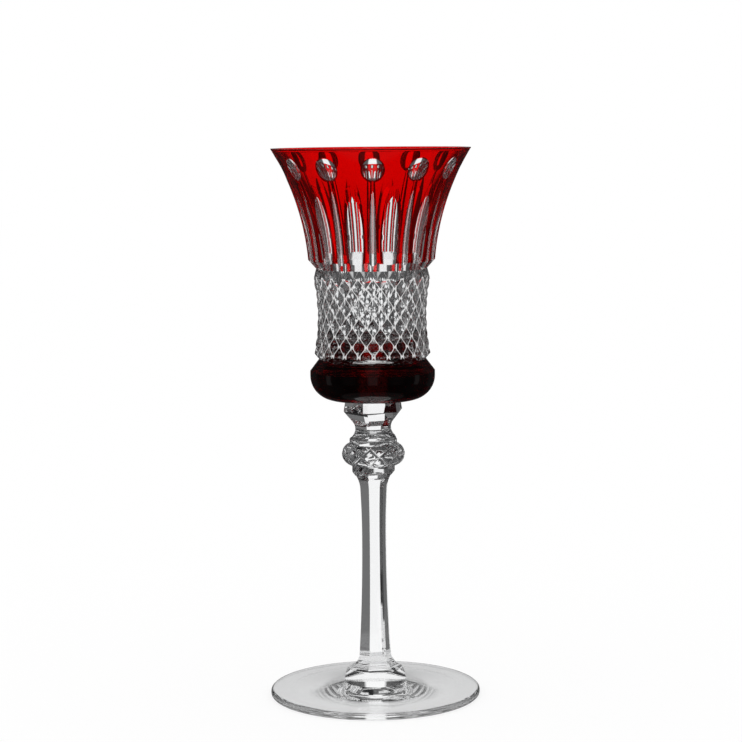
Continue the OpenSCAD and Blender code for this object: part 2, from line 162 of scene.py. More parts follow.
class BowlSizes(bpy.types.PropertyGroup):
    """Sizes of the bowl's base, its diamond band and its inside."""

    casing: length("Casing", 0.3, "Thickness of the ruby casing")
    cup_round: length("Base corner", 7, "Radius of the base's rounded corner")
    cup_height: length("Base height", 8.4, "Height of the edge between the base's side and its bevel")
    low_groove_up: length("Lower groove height", 11.9, "Height of the groove under the band above the base")
    low_groove_width: length("Lower groove", 30.9, "Diameter at the bottom of the groove under the band")
    band_up: length("Band height", 13.6, "Height of the band's lower edge above the base")
    band_height: length("Band", 21.3, "Height of the band")
    band_width: length("Band width", 33.7, "Diameter of the band at its two edges")
    band_dip: length("Band dip", 1.07, "How far the band is drawn in at its middle")
    lip: length("Lip", 1.2, "How far the bevels stand out past the band's edges before they are cut")
    top_groove_up: length("Upper groove height", 38.1, "Height of the groove over the band above the base")
    top_groove_width: length("Upper groove", 32.1, "Diameter at the bottom of the groove over the band")
    diamonds: count("Diamonds", 24, "Number of diamonds round the band")
    diamond_height: length("Diamond height", 5.52, "Height of one diamond")
    groove_depth: length("Groove depth", 0.5, "Depth of the grooves between the diamonds")
    groove_side: share("Groove side", 0.42, "How far a groove's side reaches of the way to the next groove")
    groove_line: length("Groove bottom", 0.18, "Width of the ground line at the bottom of a groove")
    first_row: share("First row", 0.93, "Where the grooves cross below the band, in half diamonds")
    floor: length("Floor", 13, "Thickness of the bowl's floor, casing included")
    bore_round: length("Floor corner", 8.3, "Radius of the corner round the floor")
    bore_width: length("Bore", 26.8, "Diameter inside the base and the band")
    throat_up: length("Throat height", 10, "Height above the floor where the inside starts to widen")
    throat_width: length("Throat", 29.8, "Diameter inside the foot of the flare")
    throat_dip: length("Throat dip", 0.2, "How far the inside is drawn in below the flare")
    rim_wall: length("Rim wall", 1.4, "Thickness of the wall at the rim")
    rim_round: length("Rim rounding", 0.45, "Rounding of the rim's inner edge")
    inner_dip: length("Inner dip", 2, "How far the inside of the flare is drawn in")


class FlareSizes(bpy.types.PropertyGroup):
    """Sizes of the flare and of the cuts through its ruby."""

    foot_up: length("Flare height", 40.7, "Height of the foot of the flare above the base")
    foot_width: length("Flare foot", 36.66, "Diameter of the bowl where its flare starts")
    dip: length("Flare dip", 1.96, "How far the flare is drawn in between its ends")
    rim_round: length("Rim edge", 0.1, "Rounding of the rim's outer edge")
    cuts: count("Repeats", 12, "Number of repeats of the cuts round the flare")
    turn: turn("Turn", 1.1, "Turn of all the cuts on the bowl about the upright axis")
    thumb_down: length("Thumbprint level", 5.8, "Distance of the thumbprints below the rim")
    thumb_width: length("Thumbprint", 7.4, "Width of a thumbprint")
    thumb_depth: length("Thumbprint depth", 1.2, "Depth of a thumbprint")
    flute_wheel: length("Flute wheel", 66.2, "Radius of the wheel that cuts the flutes")
    flute_edge: length("Flute edge", 1.25, "Radius of that wheel's rounded edge")
    flute_depth: length("Flute depth", 0.78, "Greatest depth of a flute")
    flute_down: length("Flute level", 4.1, "Distance of a flute's deepest place below the flare")
    lancet_wheel: length("Lancet wheel", 50.9, "Radius of the wheel that cuts the lancets")
    lancet_edge: length("Lancet edge", 9, "Radius of that wheel's rounded edge")
    lancet_depth: length("Lancet depth", 0.75, "Greatest depth of a lancet")
    lancet_up: length("Lancet level", 6.9, "Height of a lancet's deepest place above the flare's foot")


class Finishes(bpy.types.PropertyGroup):
    """Colours of the glass."""

    crystal: colour("Crystal", (0.985, 0.99, 0.995), "Colour of the clear crystal")
    flare: colour("Flare ruby", (0.72, 0.0, 0.0), "Colour of the ruby at the rim")
    flare_deep: colour("Deep ruby", (0.55, 0.0, 0.0), "Colour of the ruby at the foot of the flare")
    cup: colour("Base ruby", (0.009, 0.0, 0.0), "Colour of the ruby on the bowl's base")
    ground: colour("Ground crystal", (0.95, 0.95, 0.95), "Colour of the bottoms of the narrow grooves")
    dull: share("Dullness", 0.5, "Roughness of those bottoms")
    clear: share("Clearness", 0.3, "How much light goes through them")
    ior: bpy.props.FloatProperty(
        name="Refraction", description="Index of refraction of the crystal", default=1.55, min=1, max=2
    )


class Light(bpy.types.PropertyGroup):
    """The white room round the glass and the windows that its cuts pick up."""

    window: turn("Window", 7, "Half width of the windows before and behind the glass")
    side: turn("Side window", 4, "Half width of the windows on both sides")
    soft: turn("Soft edge", 4, "Width of a window's soft edge")
    low: turn("Lower edge", -20, "Height angle of the windows' lower edge")
    high: turn("Upper edge", 30, "Height angle of the windows' upper edge")
    over: turn("Overhead", 65, "Height angle from which the light overhead starts")
    mirrored: share("Mirrored", 0.12, "Brightness of the windows where the glass mirrors them")
    dark: colour("Dark", (0.01, 0.01, 0.011), "Colour of the room between the windows")
    glow: share("Glow", 0.09, "Brightness of the faint light on both sides of a window")
    glow_width: turn("Glow width", 40, "Half width of that light")
    corner: share("Corner windows", 0.16, "Brightness of the four windows between the others")
    corner_soft: turn("Corner edge", 18, "Width of those windows' soft edge")
    below: share("Below", 0.4, "Brightness of what lies far below the glass")
    below_from: turn("Below from", 55, "Angle down from which that starts")
    near: length("Table", 32, "How far from its middle the table is seen through the glass")
    near_soft: length("Table edge", 8, "Over how much more it fades")
    table_glow: share("Table glow", 0.75, "Part of the table's white that shadows don't reach")


GROUPS = {
    "glass_foot": FootSizes,
    "glass_stem": StemSizes,
    "glass_knop": KnopSizes,
    "glass_capital": CapitalSizes,
    "glass_bowl": BowlSizes,
    "glass_flare": FlareSizes,
    "glass_finish": Finishes,
    "glass_light": Light,
}

ROUND = 240  # steps of a full turn
ARC = 14  # steps of an arc in an outline
WIDE_ARC = 30  # steps of a large corner
LONG_ARC = 60  # steps of an arc along the flare
MERGE = 1e-6  # distance at which points are one
SAME = 1e-5  # difference between levels that are one
FLAT = 0.99  # how upright a level face's normal is at least
SPARE = 0.00015  # what a piece is turned too large by, before it is cut to its size
PAST = 0.001  # how far a cutting tool reaches past a piece
RIM_END = 172  # degrees at which the rim's rounded inner edge runs into the wall

WHEEL_SWEEP = math.radians(84)  # part of its turn that a cutting wheel is modelled for
WHEEL_STEPS = 180  # steps of that part
EDGE_STEPS = 48  # steps round the wheel's rounded edge
BALL_STEPS = 96  # steps round the ball that cuts a thumbprint
BALL_RINGS = 64  # steps of it from pole to pole

SIDE = (0.5, 0.6)  # how far to a side the side windows take over from the others
FLOOR_RADIUS = 3
CAMERA_PLACE = (-0.00047, -0.6256, 0.1676)
CAMERA_LENS = 105.28
CAMERA_TILT = math.radians(90 - 6.57)
CAMERA_ROLL = math.radians(-0.53)

# Shader nodes


class Wire:
    """A socket with arithmetic: each operation adds its Math node."""

    def __init__(self, nodes, socket):
        self.nodes, self.socket = nodes, socket

    def _math(self, operation, *values):
        return self.nodes.add("ShaderNodeMath", {"operation": operation}, *values)

    def __add__(self, other):
        return self._math("ADD", self, other)

    def __sub__(self, other):
        return self._math("SUBTRACT", self, other)

    def __rsub__(self, other):
        return self._math("SUBTRACT", other, self)

    def __mul__(self, other):
        return self._math("MULTIPLY", self, other)

    __radd__ = __add__
    __rmul__ = __mul__

    def __truediv__(self, other):
        return self._math("DIVIDE", self, other)

    def __abs__(self):
        return self._math("ABSOLUTE", self)

    def larger(self, other):
        return self._math("MAXIMUM", self, other)

    def rounded(self):
        return self._math("ROUND", self)


class Nodes:
    """A node tree, emptied, to which nodes are added."""

    def __init__(self, tree):
        self.tree = tree
        tree.nodes.clear()

    def add(self, kind, settings=None, *values, out=0, **named):
        """Adds a node with its settings, then feeds its inputs in order and by name."""
        node = self.tree.nodes.new(kind)
        for key, value in (settings or {}).items():
            if key == "stops":
                for spare in list(node.color_ramp.elements)[1:]:
                    node.color_ramp.elements.remove(spare)
                for i, (place, shade) in enumerate(value):
                    stop = node.color_ramp.elements[0] if i == 0 else node.color_ramp.elements.new(place)
                    stop.position, stop.color = place, shade
            else:
                setattr(node, key, value)
        pairs = [*enumerate(values), *((k.replace("_", " "), v) for k, v in named.items())]
        for key, value in pairs:
            if isinstance(value, Wire):
                self.tree.links.new(value.socket, node.inputs[key])
            else:
                node.inputs[key].default_value = value
        return Wire(self, node.outputs[out]) if node.outputs else node

    def other(self, wire, name):
        return Wire(self, wire.socket.node.outputs[name])

    def band(self, value, low, high):
        """0 up to low, 1 from high on, smooth between."""
        return self.add(
            "ShaderNodeMapRange",
            {"interpolation_type": "SMOOTHSTEP"},
            Value=value,
            From_Min=low,
            From_Max=high,
        )


def glass(nodes, tint, roughness=0.0, clear=1.0):
    """Glass of one tint, smooth and clear unless said."""
    return nodes.add(
        "ShaderNodeBsdfPrincipled",
        None,
        Base_Color=tint,
        Roughness=roughness,
        IOR=bpy.context.scene.glass_finish.ior,
        Transmission_Weight=clear,
    )


def material(surface):
    """Turns a function that gives a shader into one that gives the material of the same name."""

    def made():
        found = bpy.data.materials.get(surface.__name__)
        if not found:
            found = bpy.data.materials.new(surface.__name__)
            found.use_nodes = True
            nodes = Nodes(found.node_tree)
            shader = surface(nodes, bpy.context.scene.glass_finish)
            nodes.add("ShaderNodeOutputMaterial", None, shader)
        return found

    return made


@material
def clear_crystal(nodes, finish):
    """Clear lead crystal, polished by hand."""
    return glass(nodes, (*finish.crystal, 1))


@material
def ground_crystal(nodes, finish):
    """Crystal that the wheel has left dull: the bottoms of the narrow grooves."""
    return glass(nodes, (*finish.ground, 1), finish.dull, finish.clear)


@material
def flare_ruby(nodes, finish):
    """Ruby of the flare: bright at the rim and deeper towards its foot."""
    level = nodes.add("ShaderNodeSeparateXYZ", None, nodes.add("ShaderNodeTexCoord", out=3), out=2)
    height = nodes.band(level, *ends("flare_casing"))
    stops = ((0, (*finish.flare_deep, 1)), (1, (*finish.flare, 1)))
    return glass(nodes, nodes.add("ShaderNodeValToRGB", {"stops": stops}, height))


@material
def cup_ruby(nodes, finish):
    """Ruby of the bowl's base: nearly black."""
    return glass(nodes, (*finish.cup, 1))


@material
def seam(nodes, finish):
    """The inner faces where two pieces are one glass: light passes as if they weren't there."""
    return nodes.add("ShaderNodeBsdfTransparent", None, (1, 1, 1, 1))


def bent_light(nodes):
    """Light that comes through glass or off it, and light that comes off it only."""
    path = nodes.add("ShaderNodeLightPath")
    through = nodes.other(path, "Is Transmission Ray")
    bent = through.larger(nodes.other(path, "Is Glossy Ray"))
    return bent, bent - through


@material
def floor_white(nodes, finish):
    """A lit white table: the glass shades it, and from farther off it isn't seen through the glass."""
    light = bpy.context.scene.glass_light
    bent, mirrored = bent_light(nodes)
    place = nodes.add("ShaderNodeTexCoord", out=3)
    away = nodes.add("ShaderNodeVectorMath", {"operation": "LENGTH"}, place, out=1)
    far = nodes.band(away, light.near, light.near + light.near_soft)
    shaded = nodes.add("ShaderNodeBsdfDiffuse", None, (1, 1, 1, 1))
    white = nodes.add("ShaderNodeEmission", None, (1, 1, 1, 1), 1.0)
    dim = nodes.add("ShaderNodeEmission", None, (1, 1, 1, 1), light.mirrored)
    lit = nodes.add("ShaderNodeMixShader", None, mirrored, white, dim)
    ground = nodes.add("ShaderNodeMixShader", None, mirrored.larger(light.table_glow), shaded, lit)
    clear = nodes.add("ShaderNodeBsdfTransparent", None, (1, 1, 1, 1))
    return nodes.add("ShaderNodeMixShader", None, bent * far, ground, clear)


def studio(nodes):
    """Plain white to the eye. Light that the glass bends meets a dark room with windows.

    Four bright windows stand before, behind and beside the glass, with a faint glow round them and
    four dimmer windows between them. One light is overhead, and the ground far below is dimly lit.
    """
    light = bpy.context.scene.glass_light
    bent, mirrored = bent_light(nodes)
    way = nodes.add("ShaderNodeTexCoord")
    x = nodes.add("ShaderNodeSeparateXYZ", None, way)
    y, z = nodes.other(x, "Y"), nodes.other(x, "Z")
    quarter = nodes.add("ShaderNodeMath", {"operation": "ARCTAN2"}, y, x) / (math.pi / 2)
    off = abs(quarter - quarter.rounded()) * (math.pi / 2)
    up = nodes.add("ShaderNodeMath", {"operation": "ARCSINE"}, z)
    soft = light.soft
    at_side = nodes.band(abs(x), *SIDE)
    main = (1 - nodes.band(off, light.window, light.window + soft)) * (1 - at_side)
    side = (1 - nodes.band(off, light.side, light.side + soft)) * at_side
    upright = nodes.band(up, light.low - soft, light.low)
    upright = upright * (1 - nodes.band(up, light.high, light.high + soft))
    around = (1 - nodes.band(off, light.window + soft, light.glow_width)) * light.glow
    level = (1 - nodes.band(abs(up), light.glow_width, light.over)) * around
    corner_edge = math.pi / 4 - light.side
    between = nodes.band(off, corner_edge - light.corner_soft, corner_edge) * light.corner
    below = nodes.band(0 - up, light.below_from, light.below_from + soft) * light.below
    overhead = nodes.band(up, light.over, light.over + soft)
    lit = ((main + side).larger(between) * upright).larger(overhead).larger(level).larger(below)
    dark = nodes.add("ShaderNodeBackground", None, (*light.dark, 1), 1.0)
    bright = nodes.add("ShaderNodeBackground", None, (1, 1, 1, 1), 1.0)
    lit = lit * (1 - mirrored * (1 - light.mirrored))
    room = nodes.add("ShaderNodeMixShader", None, lit, dark, bright)
    nodes.add("ShaderNodeOutputWorld", None, nodes.add("ShaderNodeMixShader", None, bent, bright, room))


# Outlines, as (radius, level) from the foot up


def point(radius, level):
    return Vector((radius, level))


def evenly(a, b, steps):
    return [a + (b - a) * i / steps for i in range(steps + 1)]


def arc_circle(a, b, bow):
    """Radius and middle of the arc from a to b that stands off its chord by bow, to the right of the way."""
    half = (b - a).length / 2
    radius = (half**2 + bow**2) / (2 * bow)
    left = point(a.y - b.y, b.x - a.x).normalized()
    return radius, (a + b) / 2 + left * (radius - bow)


def swell(a, b, bow, steps=ARC):
    """Points of that arc from a up to, but without, b."""
    radius, middle = arc_circle(a, b, bow)
    start = math.atan2(a.y - middle.y, a.x - middle.x)
    step = 2 * math.asin(min(1, (b - a).length / (2 * radius))) / steps
    return [
        middle + radius * point(math.cos(start + i * step), math.sin(start + i * step))
        for i in range(steps)
    ]


def dip(a, b, bow, steps=ARC):
    """The same with the bow to the left of the way."""
    back = swell(b, a, bow, steps)
    return [a] + back[:0:-1]


def upright_bow(a, b):
    """The bow of an arc between a and b that stands upright at b."""
    radius = (b - a).length_squared / (2 * abs(b.x - a.x))
    return radius - math.sqrt(radius**2 - (b - a).length_squared / 4)


def taper(a, b, waist, steps=ARC):
    """Points from a up to, but without, b, upright at the waist, which is one of the two."""
    end = b if waist == a else a
    return [
        point(waist.x + (end.x - waist.x) * ((z - waist.y) / (end.y - waist.y)) ** 2, z)
        for z in evenly(a.y, b.y, steps)[:-1]
    ]


def corner(middle, radius, start, end, steps=WIDE_ARC):
    """Points of a corner's arc between two angles in degrees, both ends included."""
    angles = [math.radians(a) for a in evenly(start, end, steps)]
    return [middle + radius * point(math.cos(a), math.sin(a)) for a in angles]


def along(a, b, x):
    """The point at radius x on the straight line through a and b."""
    return a + (b - a) * (x - a.x) / (b.x - a.x)


def capped(*side):
    """A side with level ends that run in to the axis."""
    return [point(0, side[0].y), *side, point(0, side[-1].y)]


def hull(low, high, *side):
    """A side lengthened to past both ends of a piece: what lies inside it is kept of the piece."""
    return capped(point(side[0].x, low - PAST), *side, point(side[-1].x, high + PAST))


# Modelling


def select_only(thing):
    bpy.ops.object.select_all(action="DESELECT")
    thing.select_set(True)
    bpy.context.view_layer.objects.active = thing


def face_outwards(solid):
    """Turns the faces of a closed solid outwards."""
    select_only(solid)
    bpy.ops.object.mode_set(mode="EDIT")
    bpy.ops.mesh.select_all(action="SELECT")
    bpy.ops.mesh.normals_make_consistent(inside=False)
    bpy.ops.object.mode_set(mode="OBJECT")


def made_of(solid, material):
    solid.data.materials.clear()
    solid.data.materials.append(material)


def turned(name, outline, look=clear_crystal, steps=ROUND, start=0.0):
    """Spins an outline, closed or from the axis back to the axis, into a closed solid."""
    bpy.ops.object.select_all(action="DESELECT")
    bpy.ops.mesh.primitive_circle_add(vertices=len(outline), radius=1)
    solid = bpy.context.object
    solid.name = solid.data.name = name
    for vertex, place in zip(solid.data.vertices, outline):
        vertex.co = (max(place.x, 0) * math.cos(start), max(place.x, 0) * math.sin(start), place.y)
    bpy.ops.object.mode_set(mode="EDIT")
    bpy.ops.mesh.select_all(action="SELECT")
    bpy.ops.mesh.spin(
        steps=steps, angle=math.tau, center=(0, 0, 0), axis=(0, 0, 1), use_auto_merge=True, dupli=False
    )
    bpy.ops.mesh.select_all(action="SELECT")
    bpy.ops.mesh.remove_doubles(threshold=MERGE)
    bpy.ops.mesh.delete_loose(use_verts=False, use_edges=True, use_faces=False)
    bpy.ops.object.mode_set(mode="OBJECT")
    face_outwards(solid)
    made_of(solid, look())
    return solid


def combine(solid, tool, operation):
    """Cuts a solid with a tool, or keeps what they share. The faces keep their materials."""
    select_only(solid)
    cut = solid.modifiers.new("cut", "BOOLEAN")
    cut.operation, cut.object, cut.solver, cut.material_mode = operation, tool, "MANIFOLD", "TRANSFER"
    bpy.ops.object.modifier_apply(modifier=cut.name)
    bpy.data.objects.remove(tool)
    return solid


def join_faces(solid, test):
    """Makes a seam of the faces that pass a test of their middle and normal."""
    if "seam" not in solid.data.materials:
        solid.data.materials.append(seam())
    slot = solid.data.materials.find("seam")
    for face in solid.data.polygons:
        if test(face.center, face.normal):
            face.material_index = slot


def at_level(*levels):
    """The test for level faces at any of these levels."""
    return lambda middle, normal: abs(normal.z) > FLAT and any(abs(middle.z - z) < SAME for z in levels)


def finish(solid, node, slot="crystal", angle=14):
    """Shades a piece smooth but for its edges, and puts it in the frame in place of its node."""
    select_only(solid)
    bpy.ops.object.shade_smooth_by_angle(angle=math.radians(angle))
    mark_borders(solid)
    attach(solid, "root")
    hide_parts(node)


def mark_borders(solid):
    """Makes the edges between two materials sharp."""
    mesh = solid.data
    seen = {}
    for face in mesh.polygons:
        for edge in face.edge_keys:
            seen.setdefault(edge, set()).add(face.material_index)
    for edge in mesh.edges:
        if len(seen.get(edge.key, ())) > 1:
            edge.use_edge_sharp = True


def lines_across(side, soft, rounded, flat):
    """Places of the lines across a diamond: over the groove's bottom, its side and the top."""
    half = [soft * i / rounded for i in range(1, rounded + 1)]
    half += [soft + (side - soft) * i / 2 for i in (1, 2)]
    top = [side + (1 - 2 * side) * i / flat for i in range(1, flat)]
    return [0, *half, *top, *(1 - u for u in reversed(half))]


def groove_profile(side, soft):
    """The depth across a groove of half width side, with a bottom rounded over soft."""

    def profile(u):
        if u >= side:
            return 0
        straight = 1 - u / side
        low = soft / side
        return straight if u > soft else 1 - low / 2 - (u / side) ** 2 / (2 * low)

    return profile


def v_groove(side, bottom):
    """The depth across a groove of half width side, with a flat bottom of half width bottom."""
    return lambda u: 1 if u < bottom + SAME else max(0, (side - u) / (side - bottom))


def crossed_cuts(name, cuts, rows, shares, outer, at, start, profile, bottom=None):
    """A ring with crossed grooves on its inside: cuts diamonds round and rows half diamonds high.

    shares are the places of the lines across one diamond, from groove to groove. at(w) gives the
    radius, the level and the groove's depth at w half diamonds up, and profile the share of that
    depth at a distance from the middle of a groove. bottom is the material of the flat bottoms.
    """
    m = len(shares)
    around, top = cuts * m, rows * m
    low, high = top + 1, top + 2

    def line(i):
        return i // m + shares[i % m]

    def groove(u):
        return profile(abs(u - round(u)))

    def lines(s, k):
        t = 2 * k + s % 2
        return line((t + s) // 2), line((t - s) // 2)

    def place(s, k):
        u, v = lines(s, k)
        radius, level, depth = at(u - v)
        return radius - depth * max(groove(u), groove(v)), level, (u + v) * math.pi / cuts + start

    def number(s, k):
        return s * around + k % around

    points = [place(s, k) for s in range(top + 1) for k in range(around)]
    points += [(outer, z, a) for s in (0, top) for _, z, a in (place(s, k) for k in range(around))]
    points = [(r * math.cos(a), r * math.sin(a), z) for r, z, a in points]
    faces = []
    for s in range(1, top):
        for k in range(around):
            t = 2 * k + s % 2
            a, b = (t + s) // 2 % m, (t - s) // 2 % m
            left, right = number(s, k), number(s, k + 1)
            up, down = number(s + 1, k + s % 2), number(s - 1, k + s % 2)
            if a == b and a in (0, m - 1):
                faces += [(up, right, left), (left, right, down)]
            else:
                faces += [(up, down, left), (up, right, down)]
    for k in range(around):
        faces += [
            (number(1, k), number(0, k + 1), number(0, k)),
            (number(top, k), number(top, k + 1), number(top - 1, k + top % 2)),
            (number(0, k), number(0, k + 1), number(low, k + 1), number(low, k)),
            (number(top, k + 1), number(top, k), number(high, k), number(high, k + 1)),
            (number(low, k), number(low, k + 1), number(high, k + 1), number(high, k)),
        ]
    mesh = bpy.data.meshes.new(name)
    mesh.from_pydata(points, [], faces)
    mesh.materials.append(clear_crystal())
    if bottom:
        mesh.materials.append(bottom)
        deep = [max(map(groove, lines(s, k))) == 1 for s in range(top + 1) for k in range(around)]
        deep += [False] * (len(points) - len(deep))
        for face in mesh.polygons:
            face.material_index = all(deep[i] for i in face.vertices)
    ring = bpy.data.objects.new(name, mesh)
    bpy.context.scene.collection.objects.link(ring)
    face_outwards(ring)
    return ring


# Pieces


class GlassOperator:
    """What the operators share."""

    bl_options = {"REGISTER", "UNDO"}


class CORDIAL_OT_foot(GlassOperator, bpy.types.Operator):
    """Turn the foot: a thin disc that thickens to the middle, hollow underneath"""

    bl_idname = "cordial.foot"
    bl_label = "Foot"

    def execute(self, context):
        s = context.scene.glass_foot
        top = head_of("foot")
        edge = across("foot") / 2 - s.rim_round
        button, rest = point(s.button_width / 2, top), point(edge - s.rest_width, 0)
        rounding = [
            *corner(point(edge, s.rim_round), s.rim_round, -90, 0, 10),
            *corner(point(edge, s.rim_height - s.rim_round), s.rim_round, 0, 90, 10),
        ]
        radius, middle = arc_circle(rest, point(-rest.x, 0), s.hollow)
        arch = [point(x, middle.y + math.sqrt(radius**2 - x**2)) for x in evenly(0, rest.x, 24)]
        outline = [
            *arch,
            *rounding,
            *dip(point(edge, s.rim_height), button, s.dip, 24)[1:],
            button,
            point(button.x / 2, top),
            point(0, top),
        ]
        foot = turned("foot_glass", outline)
        join_faces(foot, at_level(top))
        finish(foot, "foot")
        return {"FINISHED"}


def sided(name, outline, turn):
    """A solid with the same outline, given as half widths, on each of its flat sides."""
    sides = bpy.context.scene.glass_stem.sides
    widen = 1 / math.cos(math.pi / sides)
    outline = [point(p.x * widen, p.y) for p in outline]
    return turned(name, outline, steps=sides, start=turn + math.pi / sides)


class CORDIAL_OT_foot_button(GlassOperator, bpy.types.Operator):
    """Cut the button: a squat round block whose shoulder is scalloped by the stem's sides"""

    bl_idname = "cordial.foot_button"
    bl_label = "Foot button"

    def execute(self, context):
        s, stem = context.scene.glass_foot, context.scene.glass_stem
        low, high = ends("foot_button")
        edge, shoulder = point(s.button_width / 2, low), point(s.shoulder_width / 2, low + s.shoulder_height)
        crown = point(stem.base_width / 2 / math.cos(math.pi / stem.sides) + SPARE, high)
        side = capped(*swell(edge, shoulder, s.swell), *swell(shoulder, crown, s.swell), crown)
        block = turned("foot_button_glass", side)
        cut_at, base = point(shoulder.x + 2 * SPARE, shoulder.y), point(stem.base_width / 2, high)
        swept = dip(cut_at, base, upright_bow(cut_at, base) / 2)
        sides = hull(low, high, point(edge.x + 2 * PAST, cut_at.y), *swept, base)
        combine(block, sided("cut", sides, stem.turn), "INTERSECT")
        join_faces(block, at_level(low, high))
        finish(block, "foot_button")
        return {"FINISHED"}


class CORDIAL_OT_stem(GlassOperator, bpy.types.Operator):
    """Cut the stem: flat-sided, drawn in to a waist, flared at both ends"""

    bl_idname = "cordial.stem"
    bl_label = "Stem"

    def execute(self, context):
        s = context.scene.glass_stem
        low_z, high_z = ends("stem")
        base, low = point(s.base_width / 2, low_z), point(s.low_width / 2, low_z + s.low_flare)
        waist = point(s.waist_width / 2, low_z + s.waist_up)
        high, head = point(s.top_width / 2, high_z - s.top_flare), point(s.head_width / 2, high_z)
        side = capped(
            *dip(base, low, upright_bow(base, low)),
            *taper(low, waist, waist, 20),
            *taper(waist, high, waist, 10),
            *dip(high, head, upright_bow(head, high)),
            head,
        )
        stem = sided("stem_glass", side, s.turn)
        join_faces(stem, at_level(low_z, high_z))
        finish(stem, "stem")
        return {"FINISHED"}


class CORDIAL_OT_stem_collar(GlassOperator, bpy.types.Operator):
    """Cut the collar: a round ring with a bevel that the stem's sides run up into"""

    bl_idname = "cordial.stem_collar"
    bl_label = "Stem collar"

    def execute(self, context):
        s = context.scene.glass_stem
        low, high = ends("stem_collar")
        head, radius = s.head_width / 2, across("stem_collar") / 2
        foot = point(head / math.cos(math.pi / s.sides) + SPARE, low)
        side = capped(foot, point(radius, low + s.collar_bevel), point(radius, high))
        collar = turned("stem_collar_glass", side)
        shoulder = point(radius, low + s.collar_cut)
        sides = hull(low, high, point(head, low), shoulder, shoulder + point(2 * PAST, 0))
        combine(collar, sided("cut", sides, s.turn), "INTERSECT")
        join_faces(collar, at_level(low, high))
        finish(collar, "stem_collar")
        return {"FINISHED"}


class CORDIAL_OT_knop(GlassOperator, bpy.types.Operator):
    """Cut the knop: a squat ball with crossed cuts round its middle"""

    bl_idname = "cordial.knop"
    bl_label = "Knop"

    def execute(self, context):
        s = context.scene.glass_knop
        low, high = ends("knop")
        collar, ring = across("stem_collar") / 2, across("knop_ring") / 2
        belly = point(s.width / 2 - s.rounding, low + s.middle_up)
        grown = s.rounding + SPARE
        start = math.degrees(math.asin((low - belly.y) / grown))
        end = math.degrees(math.asin((high - belly.y) / grown))
        side = capped(point(collar, low), *corner(belly, grown, start, end), point(ring, high))
        knop = turned("knop_glass", side)
        rows = 4

        def at(w):
            a = (w / rows - 0.5) * math.pi
            return (
                belly.x + s.rounding * math.cos(a),
                belly.y + s.rounding * math.sin(a),
                s.cut_depth * math.cos(a) ** 2,
            )

        soft = s.cut_share * s.bottom_share
        shares = lines_across(s.cut_share, soft, 3, 6)
        cut = groove_profile(s.cut_share, soft)
        tool = crossed_cuts("cut", s.cuts, rows, shares, s.width, at, s.turn, cut)
        combine(knop, tool, "DIFFERENCE")
        join_faces(knop, lambda c, n: at_level(low)(c, n) and c.xy.length < collar)
        join_faces(knop, lambda c, n: at_level(high)(c, n) and c.xy.length < ring)
        finish(knop, "knop")
        return {"FINISHED"}


class CORDIAL_OT_knop_ring(GlassOperator, bpy.types.Operator):
    """Turn the ring on the knop"""

    bl_idname = "cordial.knop_ring"
    bl_label = "Knop ring"

    def execute(self, context):
        s = context.scene.glass_knop
        (low, high), radius = ends("knop_ring"), across("knop_ring") / 2
        edge = corner(point(radius - s.ring_bevel, high - s.ring_bevel), s.ring_bevel, 0, 90, 4)
        ring = turned("knop_ring_glass", capped(point(radius, low), *edge))
        join_faces(ring, at_level(low, high))
        finish(ring, "knop_ring", angle=30)
        return {"FINISHED"}


class CORDIAL_OT_capital(GlassOperator, bpy.types.Operator):
    """Cut the capital: flat-sided, hollowed to a waist over a round foot, ridged under its neck"""

    bl_idname = "cordial.capital"
    bl_label = "Capital"

    def execute(self, context):
        s = context.scene.glass_capital
        low, high = ends("capital")
        foot = across("knop_ring") / 2 - context.scene.glass_knop.ring_bevel
        foot_cut = point(foot + 2 * SPARE, low)
        waist, rise = point(s.waist_width / 2, low + s.waist_up), point(s.rise_width / 2, low + s.rise_up)
        ridge, neck = point(s.ridge_width / 2, low + s.ridge_up), point(s.neck_width / 2, high)
        side = capped(
            *dip(foot_cut, waist, upright_bow(foot_cut, waist), 20),
            *dip(waist, rise, upright_bow(rise, waist)),
            rise,
            ridge,
            neck,
        )
        capital = sided("capital_glass", side, s.turn)
        block = hull(low, high, point(foot, waist.y), point(s.ridge_width, ridge.y))
        combine(capital, turned("cut", block), "INTERSECT")
        join_faces(capital, at_level(low, high))
        finish(capital, "capital")
        return {"FINISHED"}


def low_groove_of(s):
    """The bottom of the groove under the band."""
    return point(s.low_groove_width / 2, foot_of("cup_casing") + s.low_groove_up)


def base_side(s, inset):
    """The side of the bowl's base, drawn in by inset: its round corner and its bevel."""
    radius, low = across("cup_casing") / 2, foot_of("cup_casing")
    middle = point(radius - s.cup_round, low + s.cup_round)
    edge, groove = point(radius, low + s.cup_height), low_groove_of(s)
    way = groove - edge
    return [
        *corner(middle, s.cup_round - inset, -90, 0),
        point(edge.x - inset, edge.y + inset * (way.length - way.y) / way.x),
        point(groove.x - inset * way.length / way.y, groove.y),
    ]


